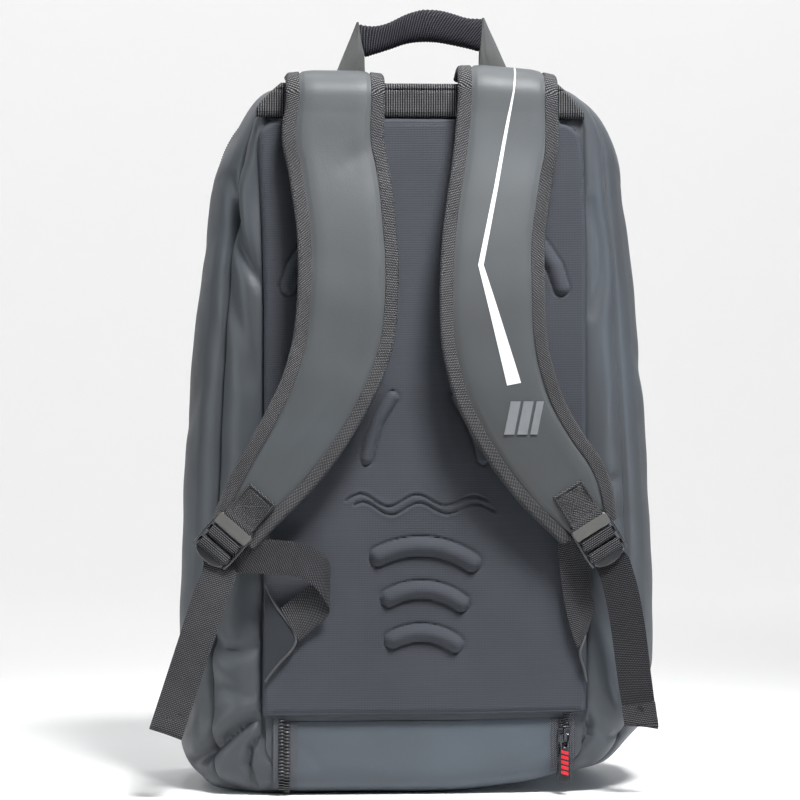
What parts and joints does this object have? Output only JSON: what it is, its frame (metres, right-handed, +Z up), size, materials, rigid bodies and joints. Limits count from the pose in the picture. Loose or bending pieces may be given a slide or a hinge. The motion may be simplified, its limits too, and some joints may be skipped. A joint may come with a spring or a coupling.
{
  "type": "racket backpack",
  "caption": "Upright padded racket backpack with contoured shoulder straps, moulded back pad, wrap-around zipped front flap, zipped shoe compartment and carry handle.",
  "frame": {"origin": "centre of the flat base that the bag stands on", "axes": "+Z up, -Y towards the wearer (harness side), +Y towards the front flap, +X to the right seen from the harness side"},
  "size_m": [0.3805, 0.2562, 0.5836],
  "materials": {
    "shell_fabric": "matt polyurethane-coated cloth, soft sheen",
    "strap_fabric": "matt polyurethane-coated cloth, smooth",
    "pad_knit": "fine knit over moulded foam",
    "lining_mesh": "open spacer mesh",
    "inner_lining": "plain woven polyester",
    "foam": "closed-cell foam",
    "webbing": "ribbed polypropylene webbing",
    "binding": "ribbed binding tape",
    "band_fabric": "ribbed band",
    "board": "polyethylene sheet",
    "zip_tape": "knitted zip tape",
    "zip_teeth": "moulded teeth",
    "zip_metal": "black lacquer on zinc",
    "zip_pull": "moulded soft plastic with red ribs",
    "buckle": "moulded acetal"
  },
  "bodies": {
    "bag": {"back_pad": "pad_knit", "lumbar_ridges": "pad_knit", "shoulder_ridges": "pad_knit", "frame_sheet": "board", "rear_panel": "shell_fabric", "top_band": "band_fabric", "rear_gusset_left": "shell_fabric", "rear_gusset_right": "shell_fabric", "side_panel_left": "shell_fabric", "side_panel_right": "shell_fabric", "top_panel": "shell_fabric", "base_panel": "shell_fabric", "lower_front_panel": "shell_fabric", "compartment_floor": "inner_lining", "webbing_wing_left": "shell_fabric", "webbing_wing_right": "shell_fabric", "lower_webbing_left": "webbing", "lower_webbing_right": "webbing", "shoe_zip_tape_body": "zip_tape", "shoe_zip_teeth_body": "zip_teeth", "main_zip_tape_body": "zip_tape", "main_zip_teeth_body": "zip_teeth"},
    "main_flap": {"flap_gusset_left": "shell_fabric", "flap_gusset_right": "shell_fabric", "flap_gusset_top": "shell_fabric", "flap_front_panel": "shell_fabric", "front_pocket": "shell_fabric", "pocket_zip_tape": "zip_tape", "pocket_zip_teeth": "zip_teeth", "main_zip_tape_flap": "zip_tape", "main_zip_teeth_flap": "zip_teeth"},
    "shoe_flap": {"shoe_flap": "shell_fabric", "shoe_zip_tape_flap": "zip_tape", "shoe_zip_teeth_flap": "zip_teeth"},
    "shoe_slider": {"shoe_zip_slider": "zip_metal"},
    "shoe_pull": {"shoe_zip_pull": "zip_pull"},
    "main_slider_left": {"main_zip_slider_left": "zip_metal"},
    "main_pull_left": {"main_zip_pull_left": "zip_pull"},
    "main_slider_right": {"main_zip_slider_right": "zip_metal"},
    "main_pull_right": {"main_zip_pull_right": "zip_pull"},
    "pocket_slider": {"pocket_zip_slider": "zip_metal"},
    "pocket_pull": {"pocket_zip_pull": "zip_pull"},
    "handle": {"handle_webbing": "webbing", "handle_grip": "band_fabric"},
    "strap_left": {"strap_lining_left": "lining_mesh", "strap_foam_left": "foam", "strap_face_left": "strap_fabric", "strap_binding_left": "binding", "strap_tab_left": "webbing"},
    "buckle_left": {"ladder_lock_left": "buckle", "threaded_webbing_left": "webbing"},
    "tail_left": {"webbing_tail_left": "webbing"},
    "strap_right": {"strap_lining_right": "lining_mesh", "strap_foam_right": "foam", "strap_face_right": "strap_fabric", "strap_binding_right": "binding", "strap_tab_right": "webbing"},
    "buckle_right": {"ladder_lock_right": "buckle", "threaded_webbing_right": "webbing"},
    "tail_right": {"webbing_tail_right": "webbing"}
  },
  "joints": [
    {"name": "main_flap_open", "type": "hinge", "parent": "bag", "child": "main_flap", "pos_m": [0, 0.1065, 0.1202], "axis": [-1, 0, 0], "range_deg": [0, 100]},
    {"name": "shoe_flap_open", "type": "hinge", "parent": "bag", "child": "shoe_flap", "pos_m": [0, -0.0953, 0.0552], "axis": [-1, 0, 0], "range_deg": [0, 55]},
    {"name": "shoe_zip_slide", "type": "slide", "parent": "shoe_flap", "child": "shoe_slider", "axis": [0, 0, -1], "range_m": [0, 0.014]},
    {"name": "shoe_pull_swing", "type": "hinge", "parent": "shoe_slider", "child": "shoe_pull", "pos_m": [0.1034, -0.1025, 0.045], "axis": [-1, 0, 0], "range_deg": [0, 110]},
    {"name": "main_zip_slide_left", "type": "slide", "parent": "bag", "child": "main_slider_left", "axis": [-1, 0, 0], "range_m": [0, 0.065]},
    {"name": "main_pull_swing_left", "type": "hinge", "parent": "main_slider_left", "child": "main_pull_left", "pos_m": [-0.008, 0.045, 0.5322], "axis": [0, 1, 0], "range_deg": [0, 95]},
    {"name": "main_zip_slide_right", "type": "slide", "parent": "bag", "child": "main_slider_right", "axis": [1, 0, 0], "range_m": [0, 0.065]},
    {"name": "main_pull_swing_right", "type": "hinge", "parent": "main_slider_right", "child": "main_pull_right", "pos_m": [0.008, 0.045, 0.5322], "axis": [0, -1, 0], "range_deg": [0, 95]},
    {"name": "pocket_zip_slide", "type": "slide", "parent": "main_flap", "child": "pocket_slider", "axis": [-1, 0, 0], "range_m": [0, 0.15]},
    {"name": "pocket_pull_swing", "type": "hinge", "parent": "pocket_slider", "child": "pocket_pull", "pos_m": [0.076, 0.1142, 0.3], "axis": [0, 0, -1], "range_deg": [0, 150]},
    {"name": "handle_swing", "type": "hinge", "parent": "bag", "child": "handle", "pos_m": [0, -0.07, 0.528], "axis": [-1, 0, 0], "range_deg": [-45, 65]},
    {"name": "strap_swing_left", "type": "hinge", "parent": "bag", "child": "strap_left", "pos_m": [0, -0.096, 0.511], "axis": [-1, 0, 0], "range_deg": [0, 20]},
    {"name": "ladder_lock_tilt_left", "type": "hinge", "parent": "strap_left", "child": "buckle_left", "pos_m": [-0.13758, -0.12987, 0.20347], "axis": [-0.7541, -0.0043, 0.6567], "range_deg": [0, 35]},
    {"name": "tail_swing_left", "type": "hinge", "parent": "buckle_left", "child": "tail_left", "pos_m": [-0.151, -0.123, 0.17], "axis": [-0.9507, 0, 0.3102], "range_deg": [-10, 38]},
    {"name": "strap_swing_right", "type": "hinge", "parent": "bag", "child": "strap_right", "pos_m": [0, -0.096, 0.511], "axis": [-1, 0, 0], "range_deg": [0, 20]},
    {"name": "ladder_lock_tilt_right", "type": "hinge", "parent": "strap_right", "child": "buckle_right", "pos_m": [0.11604, -0.13003, 0.20451], "axis": [-0.8465, 0.0103, -0.5323], "range_deg": [0, 35]},
    {"name": "tail_swing_right", "type": "hinge", "parent": "buckle_right", "child": "tail_right", "pos_m": [0.1384, -0.1226, 0.167], "axis": [-0.9703, 0.1, -0.2201], "range_deg": [-10, 38]}
  ]
}
